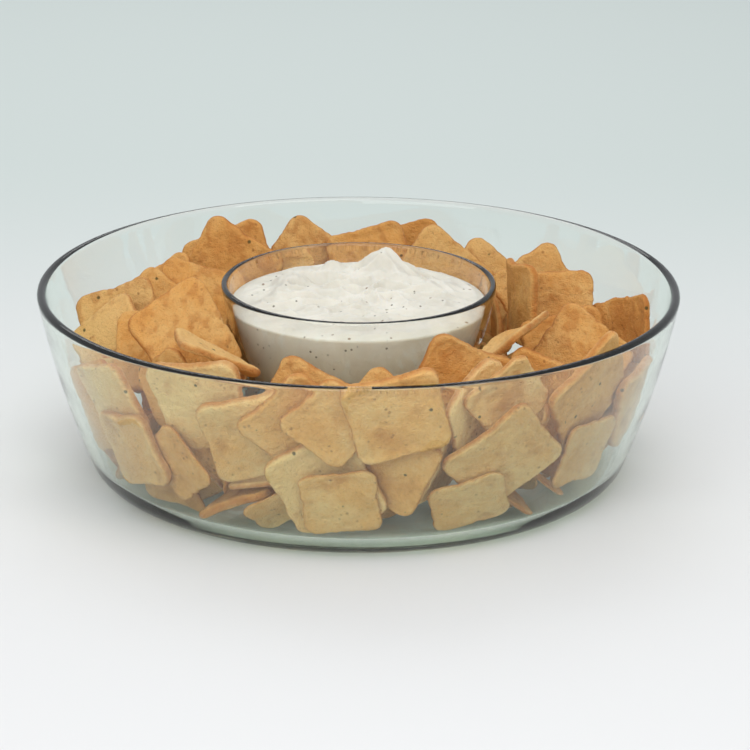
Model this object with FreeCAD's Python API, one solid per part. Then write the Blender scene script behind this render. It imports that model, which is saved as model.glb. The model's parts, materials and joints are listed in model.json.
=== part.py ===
import FreeCAD, Part
import math
import os
import random

# A chip and dip server as it stands on the table: a wide glass bowl full of toasted square
# chips, with a small glass bowl of dip standing in its middle.
# Millimetres. +Z is up, the front is towards -Y, and the origin is the middle of the wide
# bowl's base, on the table.

Vector = FreeCAD.Vector
Rotation = FreeCAD.Rotation
Placement = FreeCAD.Placement

ORIGIN = Vector(0, 0, 0)
UP = Vector(0, 0, 1)

# ---- Chip bowl: pressed glass, full round lip ----
bowl_rim_diameter = 266.7
bowl_height = 79.5
bowl_wall = 3.8
bowl_floor = 5.0
bowl_base_radius = 100.0
bowl_heel_radius = 14.0
bowl_heel_lean = 22.0
bowl_inner_heel_radius = 12.0
bowl_foot_width = 14.0
bowl_foot_depth = 0.8

# ---- Dip bowl: thinner glass, stands on the chip bowl's floor ----
dip_rim_diameter = 114.3
dip_bowl_height = 75.8
dip_wall = 2.6
dip_floor = 4.5
dip_base_radius = 22.0
dip_heel_radius = 11.0
dip_heel_lean = 32.0
dip_inner_heel_radius = 12.0
dip_foot_width = 5.0
dip_foot_depth = 0.6

# ---- Dip ----
dip_film = 0.3
dip_below_rim = 8.5
dip_dome = 3.5
dip_flat_share = 0.5

# ---- Chips: square, toasted, bent, each a little different ----
chip_side = 38.0
chip_thickness = 2.8
chip_corner_radius = 6.0
chip_edge_round = 0.9
chip_side_spread = 0.07
chip_corner_spread = 0.06
chip_gap = 0.5
upright = 0.999
sample_spacing = 2.0
rim_gap = 1.0


def rounded(value):
    """A length without the last digits that arithmetic leaves."""
    return round(value, 9)


def polar(angle, radius, height=0.0):
    """A point at an angle in degrees from the front, positive towards +X."""
    turn = math.radians(angle)
    return Vector(radius * math.sin(turn), -radius * math.cos(turn), height)


class Vessel:
    """A round glass bowl with an arc-shaped wall, a heel radius and a full round lip.

    Its outline lies in the XZ plane. The wall's outer arc and inner arc share one centre, so
    the wall has one thickness from the heel to the lip.
    """

    def __init__(self, rim_diameter, height, wall, floor, base_radius, heel_radius, heel_lean,
                 inner_heel_radius, foot_width, foot_depth):
        self.height = height
        self.wall = wall
        self.floor = floor
        self.base_radius = base_radius
        self.rim_radius = rim_diameter / 2
        self.foot_width = foot_width
        self.foot_depth = foot_depth
        self.inner_heel_radius = inner_heel_radius
        self.heel_centre = Vector(base_radius, 0, heel_radius)
        self.heel_radius = heel_radius
        self.lip_centre = Vector(self.rim_radius - wall / 2, 0, height - wall / 2)
        lean = math.radians(heel_lean)
        self.heel_normal = Vector(math.cos(lean), 0, -math.sin(lean))
        self.heel_end = self.heel_centre + self.heel_normal * heel_radius
        self.find_wall_arc(lean)
        self.inner_radius = self.wall_radius - wall
        across = self.inner_radius - inner_heel_radius
        rise = floor + inner_heel_radius - self.wall_centre.z
        run = math.sqrt(across ** 2 - rise ** 2)
        self.inner_heel_centre = Vector(self.wall_centre.x + run, 0, floor + inner_heel_radius)

    def find_wall_arc(self, lean):
        """The arc that leaves the heel at its lean and meets the lip's side."""
        rim_lean = 0.0
        for _ in range(30):
            rim_normal = Vector(math.cos(rim_lean), 0, -math.sin(rim_lean))
            rim_start = self.lip_centre + rim_normal * (self.wall / 2)
            chord = rim_start - self.heel_end
            chord_lean = math.atan2(chord.x, chord.z)
            rim_lean = 2 * chord_lean - lean
        self.rim_lean = rim_lean
        self.rim_normal = rim_normal
        self.wall_radius = chord.Length / (2 * math.sin(lean - chord_lean))
        self.wall_centre = self.heel_end - self.heel_normal * self.wall_radius

    def inner_outline(self, gap, top):
        """Edges up the inside from the axis to a height, moved in from the glass by a gap.

        Returns the edges and the point that they end at.
        """
        heel = self.inner_heel_radius - gap
        wall = self.inner_radius - gap
        centre = self.inner_heel_centre
        toward = (centre - self.wall_centre).normalize()
        low = Vector(0, 0, self.floor + gap)
        heel_start = Vector(centre.x, 0, self.floor + gap)
        heel_end = centre + toward * heel
        rise = top - self.wall_centre.z
        wall_end = Vector(self.wall_centre.x + math.sqrt(wall ** 2 - rise ** 2), 0, top)
        edges = [
            Part.makeLine(low, heel_start),
            arc(centre, heel_start, heel_end),
            arc(self.wall_centre, heel_end, wall_end),
        ]
        return edges, wall_end

    def solid(self):
        lip_inside = self.lip_centre - self.rim_normal * (self.wall / 2)
        lip_outside = self.lip_centre + self.rim_normal * (self.wall / 2)
        edges, inside_end = self.inner_outline(0.0, rounded(lip_inside.z))
        foot_inside = self.base_radius - self.foot_width
        hollow_edge = Vector(foot_inside - 2 * self.foot_depth, 0, self.foot_depth)
        foot_start = Vector(foot_inside, 0, 0)
        foot_end = Vector(self.base_radius, 0, 0)
        edges += [
            arc(self.lip_centre, inside_end, lip_outside),
            arc(self.wall_centre, lip_outside, self.heel_end),
            arc(self.heel_centre, self.heel_end, foot_end),
            Part.makeLine(foot_end, foot_start),
            Part.makeLine(foot_start, hollow_edge),
            Part.makeLine(hollow_edge, Vector(0, 0, self.foot_depth)),
            Part.makeLine(Vector(0, 0, self.foot_depth), Vector(0, 0, self.floor)),
        ]
        return revolved(edges)

    def room(self, radius, height):
        """How far a point inside the bowl is from the glass, and the way off the glass.

        The way is a radial and an upward share. The room is negative in the glass.
        """
        across = self.wall_centre.x - radius
        rise = self.wall_centre.z - height
        off_centre = math.hypot(across, rise)
        room = self.inner_radius - off_centre
        out, up = across / off_centre, rise / off_centre
        centre = self.inner_heel_centre
        if radius > centre.x and height < centre.z:
            in_heel = math.hypot(radius - centre.x, height - centre.z)
            heel_room = self.inner_heel_radius - in_heel
            if heel_room < room and in_heel > 0:
                return heel_room, (centre.x - radius) / in_heel, (centre.z - height) / in_heel
        if height - self.floor < room:
            return height - self.floor, 0.0, 1.0
        return room, out, up

    def inside_radius(self, height):
        """The inner wall's radius at a height."""
        rise = height - self.wall_centre.z
        return self.wall_centre.x + math.sqrt(self.inner_radius ** 2 - rise ** 2)


def arc(centre, start, end):
    """The shorter arc between two points about a centre, as an edge."""
    middle = ((start - centre).normalize() + (end - centre).normalize()).normalize()
    if (start - centre).cross(end - centre).Length < 1e-6 * (start - centre).Length ** 2:
        middle = UP
    radius = (start - centre).Length
    return Part.Arc(start, centre + middle * radius, end).toShape()


def revolved(edges):
    """The solid that a closed outline in the XZ plane sweeps about Z."""
    face = Part.Face(Part.Wire(Part.__sortEdges__(edges)))
    solid = face.revolve(ORIGIN, UP, 360)
    return solid if solid.Volume > 0 else solid.reversed()


class Chip:
    """One chip: a sheet with four slightly uneven corners, bent about one axis.

    In the chip's own frame X runs along the bend, Y runs along the bend's axis, and Z is the
    face's normal. A place on the flat sheet is (along, across).
    """

    def __init__(self, seat, uneven):
        azimuth, radius, height, facing, lean, roll, scale, bend, bend_turn = seat
        self.bend = 1.0 / bend if bend else 0.0
        self.corners = chip_corners(scale, math.radians(roll - bend_turn), uneven)
        self.reach = max(math.hypot(*corner) for corner in self.corners) + chip_thickness
        self.sides = outline_sides(self.corners)
        self.marks = [self.on_sheet(*mark) for mark in sheet_marks(self.corners)]
        turn = Rotation(UP, facing).multiply(Rotation(Vector(1, 0, 0), lean + 90))
        self.rotation = turn.multiply(Rotation(UP, bend_turn))
        self.against_wall = radius is None
        self.centre = polar(azimuth, radius or bowl_base_radius, height)
        self.azimuth = azimuth
        self.lone = False
        self.update()

    def on_sheet(self, along, across):
        """The point in the chip's frame for a place on the sheet's middle surface."""
        if not self.bend:
            return (along, across, 0.0)
        turn = along * self.bend
        return (math.sin(turn) / self.bend, across, (1 - math.cos(turn)) / self.bend)

    def update(self):
        """Work out the frame's axes and the marks' places after a move."""
        axes = [self.rotation.multVec(axis) for axis in (Vector(1, 0, 0), Vector(0, 1, 0), UP)]
        self.axes = [(axis.x, axis.y, axis.z) for axis in axes]
        (ax, ay, az), (bx, by, bz), (cx, cy, cz) = self.axes
        x, y, z = self.centre.x, self.centre.y, self.centre.z
        self.spots = [
            (x + u * ax + v * bx + w * cx, y + u * ay + v * by + w * cy,
             z + u * az + v * bz + w * cz)
            for u, v, w in self.marks
        ]

    def move(self, shift, turn=None):
        """Move by a shift, and turn about the centre by a rotation vector in radians."""
        self.centre = self.centre + shift
        if turn is not None and turn.Length > 1e-9:
            step = Rotation(turn, math.degrees(turn.Length))
            self.rotation = step.multiply(self.rotation)
        self.update()

    def side_of(self, point):
        """Which face of the chip a point is nearer to: 1 for the front, -1 for the back."""
        offset = point - self.centre
        normal = self.axes[2]
        off = offset.x * normal[0] + offset.y * normal[1] + offset.z * normal[2]
        if self.bend:
            axis = self.axes[0]
            along = offset.x * axis[0] + offset.y * axis[1] + offset.z * axis[2]
            off -= self.bend * along * along / 2
        return 1 if off >= 0 else -1

    def direction(self, along, across, off, turn):
        """The world direction for one given on the sheet, at a place that the bend turns."""
        x = along * math.cos(turn) - off * math.sin(turn)
        z = along * math.sin(turn) + off * math.cos(turn)
        a, b, c = self.axes
        return Vector(x * a[0] + across * b[0] + z * c[0],
                      x * a[1] + across * b[1] + z * c[1],
                      x * a[2] + across * b[2] + z * c[2])

    def solid(self):
        """The chip's solid in its resting place."""
        half = chip_thickness / 2
        points = [Vector(self.on_sheet(x, y)[0], y, 0) for x, y in self.corners]
        outline = Part.makePolygon(points + points[:1])
        prism = Part.Face(outline).extrude(Vector(0, 0, chip_side))
        prism.translate(Vector(0, 0, -chip_side / 2))
        uprights = [edge for edge in prism.Edges
                    if abs(edge.tangentAt(edge.FirstParameter).z) > upright]
        prism = prism.makeFillet(chip_corner_radius, uprights)
        body = prism.common(self.sheet(half))
        body = body.Solids[0]
        rounded_body = body.makeFillet(chip_edge_round, rim_edges(body))
        rounded_body = rounded_body.Solids[0]
        rounded_body.Placement = Placement(self.centre, self.rotation)
        return rounded_body

    def sheet(self, half):
        """A bent plate larger than the chip, to be trimmed to its outline."""
        size = 2 * self.reach + chip_side
        if not self.bend:
            plate = Part.makeBox(size, size, 2 * half)
            plate.translate(Vector(-size / 2, -size / 2, -half))
            return plate
        bend_radius = abs(1 / self.bend)
        spread = min(math.degrees(self.reach / bend_radius) + 12, 170)
        low = bend_radius - half
        high = bend_radius + half
        corners = [Vector(0, -size / 2, -low), Vector(0, size / 2, -low),
                   Vector(0, size / 2, -high), Vector(0, -size / 2, -high)]
        section = Part.Face(Part.makePolygon(corners + corners[:1]))
        section.rotate(ORIGIN, Vector(0, 1, 0), -spread)
        plate = section.revolve(ORIGIN, Vector(0, 1, 0), 2 * spread)
        plate.translate(Vector(0, 0, bend_radius))
        if self.bend < 0:
            plate.rotate(ORIGIN, Vector(0, 1, 0), 180)
        return plate


def rim_edges(body):
    """The edges round the two faces, and not the ones that run through the thickness."""
    return [edge for edge in body.Edges
            if abs(edge.tangentAt(edge.FirstParameter).z) < upright
            or abs(edge.tangentAt(edge.LastParameter).z) < upright]


def chip_corners(scale, turn, uneven):
    """Four corners of a chip's flat outline, counter-clockwise, turned on the sheet."""
    side_x = chip_side * scale * (1 + chip_side_spread * uneven.uniform(-1, 1))
    side_y = chip_side * scale * (1 + chip_side_spread * uneven.uniform(-1, 1))
    corners = []
    for sign_x, sign_y in ((-1, -1), (1, -1), (1, 1), (-1, 1)):
        x = sign_x * side_x / 2 * (1 + chip_corner_spread * uneven.uniform(-1, 1))
        y = sign_y * side_y / 2 * (1 + chip_corner_spread * uneven.uniform(-1, 1))
        corners.append((x * math.cos(turn) - y * math.sin(turn),
                        x * math.sin(turn) + y * math.cos(turn)))
    return corners


def outline_sides(corners):
    """Each side of an outline as an outward normal and its distance, with the corners cut.

    The cut at each corner stands for the corner's rounding.
    """
    sides = []
    for index, start in enumerate(corners):
        end = corners[(index + 1) % len(corners)]
        length = math.hypot(end[0] - start[0], end[1] - start[1])
        normal = ((end[1] - start[1]) / length, (start[0] - end[0]) / length)
        sides.append((normal[0], normal[1], normal[0] * start[0] + normal[1] * start[1]))
    cuts = []
    for index, corner in enumerate(corners):
        before, after = sides[index - 1], sides[index]
        x, y = before[0] + after[0], before[1] + after[1]
        length = math.hypot(x, y)
        x, y = x / length, y / length
        cut = chip_corner_radius * (1 / max(length / 2, 0.5) - 1)
        cuts.append((x, y, x * corner[0] + y * corner[1] - cut))
    return sides + cuts


def sheet_marks(corners):
    """Places on a chip's sheet: round its rounded rim, half a thickness in, and inside."""
    inset = chip_thickness / 2
    sides = outline_sides(corners)
    reach = max(math.hypot(*corner) for corner in corners)
    marks = []
    count = int(2 * math.pi * reach * 0.8 / sample_spacing)
    for index in range(count):
        turn = 2 * math.pi * index / count
        x, y = math.cos(turn), math.sin(turn)
        far = min((limit - inset) / (nx * x + ny * y)
                  for nx, ny, limit in sides if nx * x + ny * y > 1e-6)
        marks.append((far * x, far * y))
        if index % 6 == 0:
            marks.append((far * x * 0.62, far * y * 0.62))
        if index % 12 == 3:
            marks.append((far * x * 0.3, far * y * 0.3))
    marks.append((0.0, 0.0))
    return marks


# ---- The pile: how the chips come to rest ----
settle_rounds = 260
seat_step = 0.25
seat_reach = 12.0
push_limit = 1.6
turn_share = 1 / 170.0


def deepest_contact(chip, other):
    """The worst place where a chip's rounded rim or face is too near another chip.

    Returns the depth, the way to push the chip, and the spot, or None.
    """
    skin = chip_thickness + chip_gap
    inset = chip_thickness / 2
    worst = 0.0
    found = None
    ox, oy, oz = other.centre.x, other.centre.y, other.centre.z
    a, b, c = other.axes
    a0, a1, a2 = a
    b0, b1, b2 = b
    c0, c1, c2 = c
    bend = other.bend
    sides = other.sides
    reach = (other.reach + skin) ** 2
    sign = 1 if bend >= 0 else -1
    bend_radius = abs(1 / bend) if bend else 0.0
    side = other.side_of(chip.centre)
    for spot in chip.spots:
        dx = spot[0] - ox
        dy = spot[1] - oy
        dz = spot[2] - oz
        if dx * dx + dy * dy + dz * dz > reach:
            continue
        x = dx * a0 + dy * a1 + dz * a2
        off = dx * c0 + dy * c1 + dz * c2
        turn = 0.0
        if bend:
            rise = bend_radius - sign * off
            off = sign * (bend_radius - math.sqrt(x * x + rise * rise))
            turn = math.atan2(x, rise)
            x = bend_radius * turn
            turn *= sign
        right_side = off * side >= 0
        if right_side and off * side > skin:
            continue
        if abs(off) > skin + 9.0:
            continue
        y = dx * b0 + dy * b1 + dz * b2
        outside = -1e9
        for nx, ny, limit in sides:
            past = nx * x + ny * y - limit
            if past > outside:
                outside = past
                way = (nx, ny)
                if past > skin:
                    break
        outside += inset
        if outside > skin:
            continue
        if right_side:
            if outside > 0:
                near = math.hypot(off, outside)
                depth = skin - near
                if depth > worst:
                    worst = depth
                    found = (way[0] * outside / near, way[1] * outside / near, off / near,
                             turn, spot)
            elif skin - abs(off) > worst:
                worst = skin - abs(off)
                found = (0.0, 0.0, side, turn, spot)
        else:
            through = skin + abs(off)
            around = skin - outside
            if min(through, around) > worst:
                worst = min(through, around)
                if through < around:
                    found = (0.0, 0.0, side, turn, spot)
                else:
                    found = (way[0], way[1], 0.0, turn, spot)
    if found is None:
        return None
    along, across, off, turn, spot = found
    return worst, other.direction(along, across, off, turn), Vector(*spot)


def push(chip, depth, way, spot, other=None):
    """Part a chip from what it touches, sharing the way between the two by their looseness."""
    lever = spot - chip.centre
    twist = lever.cross(way)
    weight = chip.looseness * (1 + twist.Length ** 2 * turn_share)
    other_weight = 0.0
    if other is not None:
        other_lever = spot - other.centre
        other_twist = other_lever.cross(way)
        other_weight = other.looseness * (1 + other_twist.Length ** 2 * turn_share)
    share = min(depth, push_limit) / (weight + other_weight)
    chip.move(way * (share * chip.looseness), twist * (share * chip.looseness * turn_share))
    if other is not None:
        other.move(way * (-share * other.looseness),
                   other_twist * (-share * other.looseness * turn_share))


def glass_contacts(chip, bowl, keep_out):
    """The worst contact with the chip bowl and with the room kept for the dip bowl."""
    worst_glass = 0.0
    worst_core = 0.0
    glass = core = None
    half = chip_thickness / 2
    need = half + chip_gap
    for spot in chip.spots:
        radius = math.hypot(spot[0], spot[1])
        room, out, up = bowl.room(radius, spot[2])
        if need - room > worst_glass:
            worst_glass = need - room
            glass = (worst_glass, Vector(out * spot[0] / radius, out * spot[1] / radius, up),
                     Vector(*spot))
        if keep_out + half - radius > worst_core:
            worst_core = keep_out + half - radius
            core = (worst_core, Vector(spot[0] / radius, spot[1] / radius, 0), Vector(*spot))
    return glass, core


def pairs_within(chips, margin):
    """Every two chips whose reaches come within a margin of each other."""
    pairs = []
    for index, chip in enumerate(chips):
        for other in chips[index + 1:]:
            near = chip.reach + other.reach + margin
            if (chip.centre - other.centre).Length < near:
                pairs.append((chip, other))
    return pairs


def settle(chips, bowl, keep_out):
    """Let the chips part from each other and the glass while they sink and keep their place."""
    for chip in chips:
        chip.home = chip.centre
        chip.home_rotation = chip.rotation
    for turn in range(settle_rounds):
        fade = max(0.0, 1 - turn / (settle_rounds * 0.75))
        for chip in chips:
            if chip.filler:
                chip.move(Vector(0, 0, -0.35 * fade))
            else:
                back = (chip.home - chip.centre) * (0.07 * fade)
                chip.rotation = chip.rotation.slerp(chip.home_rotation, 0.07 * fade)
                chip.move(back)
        if turn % 8 == 0:
            pairs = pairs_within(chips, 4.0)
        worst = 0.0
        for chip, other in pairs:
            for first, second in ((chip, other), (other, chip)):
                contact = deepest_contact(first, second)
                if contact:
                    worst = max(worst, contact[0])
                    push(first, *contact, second)
        for chip in chips:
            for contact in glass_contacts(chip, bowl, keep_out):
                if contact:
                    worst = max(worst, contact[0])
                    push(chip, *contact)
        if fade == 0.0 and worst < 0.08:
            break
    return worst


def too_near(chip, other):
    """Whether any of a chip's marks is nearer to another chip's sheet than the two may lie."""
    skin = chip_thickness + chip_gap
    inset = chip_thickness / 2
    axis_x, axis_y, axis_z = other.axes
    ox, oy, oz = other.centre.x, other.centre.y, other.centre.z
    reach = (other.reach + skin) ** 2
    sign = 1 if other.bend >= 0 else -1
    bend_radius = abs(1 / other.bend) if other.bend else 0.0
    for spot in chip.spots:
        dx, dy, dz = spot[0] - ox, spot[1] - oy, spot[2] - oz
        if dx * dx + dy * dy + dz * dz > reach:
            continue
        x = dx * axis_x[0] + dy * axis_x[1] + dz * axis_x[2]
        off = dx * axis_z[0] + dy * axis_z[1] + dz * axis_z[2]
        if bend_radius:
            rise = bend_radius - sign * off
            off = bend_radius - math.hypot(x, rise)
            x = bend_radius * math.atan2(x, rise)
        if abs(off) > skin:
            continue
        y = dx * axis_y[0] + dy * axis_y[1] + dz * axis_y[2]
        outside = inset + max(nx * x + ny * y - limit for nx, ny, limit in other.sides)
        if math.hypot(off, max(outside, 0.0)) < skin:
            return True
    return False


def clear_of_all(chip, others, bowl, keep_out):
    """Whether a chip keeps its gap to the glass, to the dip bowl's room and to the others."""
    if any(glass_contacts(chip, bowl, keep_out)):
        return False
    return not any(too_near(chip, other) or too_near(other, chip) for other in others)


def seat(chips, bowl, keep_out):
    """Lower each chip, lowest first, until it rests on what is under it."""
    for chip in sorted(chips, key=lambda one: one.centre.z):
        others = [other for other in chips if other is not chip
                  and (chip.centre - other.centre).Length
                  < chip.reach + other.reach + seat_reach]
        dropped = 0.0
        while dropped < seat_reach:
            if not clear_of_all(chip, others, bowl, keep_out):
                break
            chip.move(Vector(0, 0, -seat_step))
            dropped += seat_step
        if dropped:
            chip.move(Vector(0, 0, seat_step))


# ---- Where the chips lie ----
# Each seat is (azimuth, radius, height, facing, lean, roll, size, bend radius, bend turn).
# The azimuth and the facing are degrees from the front towards +X. The radius and the height
# are of the chip's middle, and a radius of None means against the glass. The facing is the
# way that the face looks. The lean tips the top that way, and a negative lean turns the face
# up. The roll turns the chip in its own plane, the size is a share of the usual side, and a
# bend radius of 0 is flat.
front_seats = [
    (-20, None, 45, -14, 30, 4, 1.06, -170, 0),
    (-33, 115, 57, -16, 22, 9, 1.10, -150, 0),
    (-38, None, 34, -28, 26, 45, 0.88, 0, 0),
    (-49, None, 35, -46, 20, 12, 0.86, -160, 0),
    (-55, None, 51, -50, 16, 18, 0.92, -120, 0),
    (-42, 98, 58, 64, 68, 8, 0.86, -90, 0),
    (-40, 98, 27, -70, 76, 20, 0.90, 0, 0),
    (-29, 95, 22, 68, 78, 5, 0.95, 90, 90),
    (-18, 96, 28, 66, 74, 0, 0.86, -120, 0),
    (-18, None, 20, 20, 14, 40, 0.66, 0, 0),
    (-5, 107, 34, -14, 18, 20, 1.06, 52, 10),
    (-2.5, None, 29, -4, 30, 18, 0.86, 0, 0),
    (-12.5, 114, 60, 8, 18, -40, 0.92, -70, 0),
    (-4, None, 61, 0, 16, -40, 0.90, -150, 0),
    (8, None, 62, 6, 16, 10, 1.04, -200, 0),
    (9.5, None, 37, -16, 18, 45, 1.0, -42, 0),
    (16, None, 37, 78, 10, 8, 0.96, -70, 90),
    (22.5, 112, 54, 42, 8, 35, 0.92, 42, 20),
    (28, None, 43, 20, 26, 35, 1.08, -110, 35),
    (31, 116, 62, 22, 12, 25, 0.85, -50, 0),
    (39, None, 50, 96, 8, 20, 0.88, 60, 90),
    (48, None, 57, 36, 18, 35, 1.10, -220, 0),
    (52, None, 33, 44, 20, 4, 0.80, 0, 0),
    (47, None, 24, -60, 60, 10, 0.70, 32, 0),
    (24, None, 23, 16, 36, 16, 0.80, 0, 0),
    (67, None, 42, 62, 16, 20, 0.95, -150, 0),
    (64, None, 25, 80, 62, 10, 0.80, 0, 0),
]
top_seats = [
    (-96, 101, 64, -25, -24, 24, 0.97, 0, 0),
    (-84, 103, 61, -44, -30, -32, 0.97, -90, 90),
    (-69, 87, 66, -16, -46, 8, 0.97, 120, 90),
    (-53, 84, 73, 10, -40, 38, 1.02, -52, 0),
    (-112, 74, 60, -10, -25, -20, 1.0, 0, 0),
    (-136, 84, 65, -4, -20, -33, 1.0, -200, 0),
    (-147, 104, 60, -8, -20, 24, 0.97, -90, 0),
    (-151, 80, 58, 0, -20, -3, 0.98, 0, 0),
    (-165, 92, 60, 0, -20, -36, 0.97, -60, 0),
    (177, 85, 62, 2, -20, 13, 0.97, -220, 0),
    (-121, 95, 58, -30, -20, 45, 0.78, 60, 0),
    (-106, 91, 60, 0, -35, -40, 0.82, -60, 0),
    (-36, 98, 70, -57, 58, 24, 0.98, -70, 0),
    (-10, 97, 48, 0, -12, -42, 0.97, -90, 0),
    (11, 96, 50, 0, -15, 36, 0.97, 0, 0),
    (30, 92, 57, 6, -28, -27, 1.03, -120, 0),
    (55, 77, 70, 62, 56, 0, 0.88, -60, 90),
    (106, 72, 65, -66, -6, 4, 0.97, -44, 0),
    (125, 95, 58, 0, -20, 33, 0.97, -200, 0),
    (105, 85, 63, 10, -15, 5, 0.84, 42, 0),
    (155, 83, 56, 4, -20, -38, 1.0, -110, 0),
    (147, 97, 52, 6, -20, -40, 0.92, 0, 0),
    (90, 91, 62, 8, -22, 28, 1.0, -180, 0),
    (68, 96, 65, 6, -26, -38, 0.98, -120, 0),
    (46, 102, 50, 14, -14, -15, 0.97, -150, 0),
    (103, 108, 64, -20, -10, 20, 0.62, 40, 0),
    (88, 113, 61, -50, -12, 20, 0.82, 45, 0),
    (-41, 108, 60, -34, 12, 40, 0.80, -60, 0),
]
# ---- Chips that stand against the glass round the sides and the back, in two tiers ----
back_from = 84.0
back_to = 296.0
back_chips_in_tier = 12
back_tiers = (29.0, 56.0)
# ---- Chips that fill the middle of the pile ----
# Each ring is a height, a radius, how many chips, and the azimuths that it runs between.
filler_rings = (
    (24.0, 76.0, 9, 0, 360),
    (24.0, 98.0, 10, 0, 360),
    (44.0, 78.0, 9, 0, 360),
    (46.0, 98.0, 8, 0, 360),
    (58.0, 84.0, 7, 115, 255),
)
pile_seed = 11


def back_seats(uneven):
    """Seats round the sides and the back, each a little different."""
    seats = []
    step = (back_to - back_from) / back_chips_in_tier
    for tier, height in enumerate(back_tiers):
        for index in range(back_chips_in_tier):
            azimuth = back_from + step * (index + 0.5 * tier + 0.25)
            seats.append((azimuth, None, height + uneven.uniform(-4, 4),
                          azimuth + uneven.choice((-1, 1)) * uneven.uniform(5, 45),
                          uneven.uniform(8, 28), uneven.uniform(-45, 45),
                          uneven.uniform(0.85, 1.05), uneven.choice((-60, -90, -150, 0, 80)),
                          uneven.uniform(0, 90)))
    return seats


def filler_seats(uneven):
    """Seats in the middle of the pile, standing at every angle."""
    seats = []
    for height, radius, count, ring_from, ring_to in filler_rings:
        step = (ring_to - ring_from) / count
        start = ring_from + step * uneven.uniform(0, 1)
        for index in range(count):
            azimuth = start + step * index
            seats.append((azimuth, radius + uneven.uniform(-3, 3),
                          height + uneven.uniform(-4, 4), azimuth + uneven.uniform(20, 160),
                          uneven.uniform(-30, 30), uneven.uniform(-45, 45),
                          uneven.uniform(0.8, 1.0), uneven.choice((-60, -90, 0, 0, 90)), 0.0))
    return seats


def make_chips(seats, uneven, name, filler, bowl):
    """Chips for a list of seats, those against the glass brought up to it."""
    chips = []
    for index, one in enumerate(seats):
        chip = Chip(one, uneven)
        chip.name = "%s_%02d" % (name, index + 1)
        chip.filler = filler
        chip.looseness = 2.0 if filler else 1.0
        if chip.against_wall:
            bring_to_wall(chip, bowl)
        chips.append(chip)
    return chips


def bring_to_wall(chip, bowl):
    """Move a chip along its own radius until it nearly touches the bowl's wall."""
    height = chip.centre.z
    radius = bowl.inside_radius(height) + chip_side / 4
    need = chip_thickness / 2 + chip_gap
    while radius > bowl.rim_radius / 2:
        chip.centre = polar(chip.azimuth, radius, height)
        chip.update()
        if all(bowl.room(math.hypot(x, y), z)[0] >= need for x, y, z in chip.spots):
            break
        radius -= 0.5


def make_vessels():
    bowl = Vessel(bowl_rim_diameter, bowl_height, bowl_wall, bowl_floor, bowl_base_radius,
                  bowl_heel_radius, bowl_heel_lean, bowl_inner_heel_radius, bowl_foot_width,
                  bowl_foot_depth)
    dip_bowl = Vessel(dip_rim_diameter, dip_bowl_height, dip_wall, dip_floor, dip_base_radius,
                      dip_heel_radius, dip_heel_lean, dip_inner_heel_radius, dip_foot_width,
                      dip_foot_depth)
    return bowl, dip_bowl


def make_dip(dip_bowl):
    """The dip: it fills its bowl to a line below the rim, with a low dome on top."""
    top = dip_bowl.height - dip_below_rim
    edges, shore = dip_bowl.inner_outline(dip_film, top)
    crown = Vector(0, 0, top + dip_dome)
    shoulder = Vector(shore.x * dip_flat_share, 0, top + dip_dome)
    reach = shore.x - shoulder.x
    slope_radius = (reach ** 2 + dip_dome ** 2) / (2 * dip_dome)
    edges.append(arc(shoulder - UP * slope_radius, shore, shoulder))
    edges.append(Part.makeLine(shoulder, crown))
    edges.append(Part.makeLine(crown, Vector(0, 0, dip_bowl.floor + dip_film)))
    return revolved(edges)


def make_pile(bowl):
    """Every chip, settled, with those that found no room left out."""
    uneven = random.Random(pile_seed)
    chips = make_chips(front_seats, uneven, "chip_front", False, bowl)
    chips += make_chips(top_seats, uneven, "chip_top", False, bowl)
    chips += make_chips(back_seats(uneven), uneven, "chip_back", True, bowl)
    chips += make_chips(filler_seats(uneven), uneven, "chip_middle", True, bowl)
    keep_out = dip_rim_diameter / 2 + rim_gap
    settle(chips, bowl, keep_out)
    seat(chips, bowl, keep_out)
    return chips


def main():
    os.makedirs("parts", exist_ok=True)
    bowl, dip_bowl = make_vessels()
    bowl_solid = bowl.solid()
    dip_bowl_solid = dip_bowl.solid()
    dip_solid = make_dip(dip_bowl)
    stand = Vector(0, 0, bowl.floor)
    dip_bowl_solid.translate(stand)
    dip_solid.translate(stand)
    bowl_solid.exportStep("parts/chip_bowl.step")
    dip_bowl_solid.exportStep("parts/dip_bowl.step")
    dip_solid.exportStep("parts/dip.step")
    groups = {}
    for chip in make_pile(bowl):
        name = chip.name
        if chip.filler:
            name = "chips" + name[4:name.rindex("_")]
        groups.setdefault(name, []).append(chip.solid())
    for name, solids in groups.items():
        shape = solids[0] if len(solids) == 1 else Part.makeCompound(solids)
        shape.exportStep("parts/%s.step" % name)


if __name__ == "__main__":
    main()
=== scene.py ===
import bpy
import json
import math
import numpy as np
from mathutils import Matrix, Vector, noise


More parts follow.
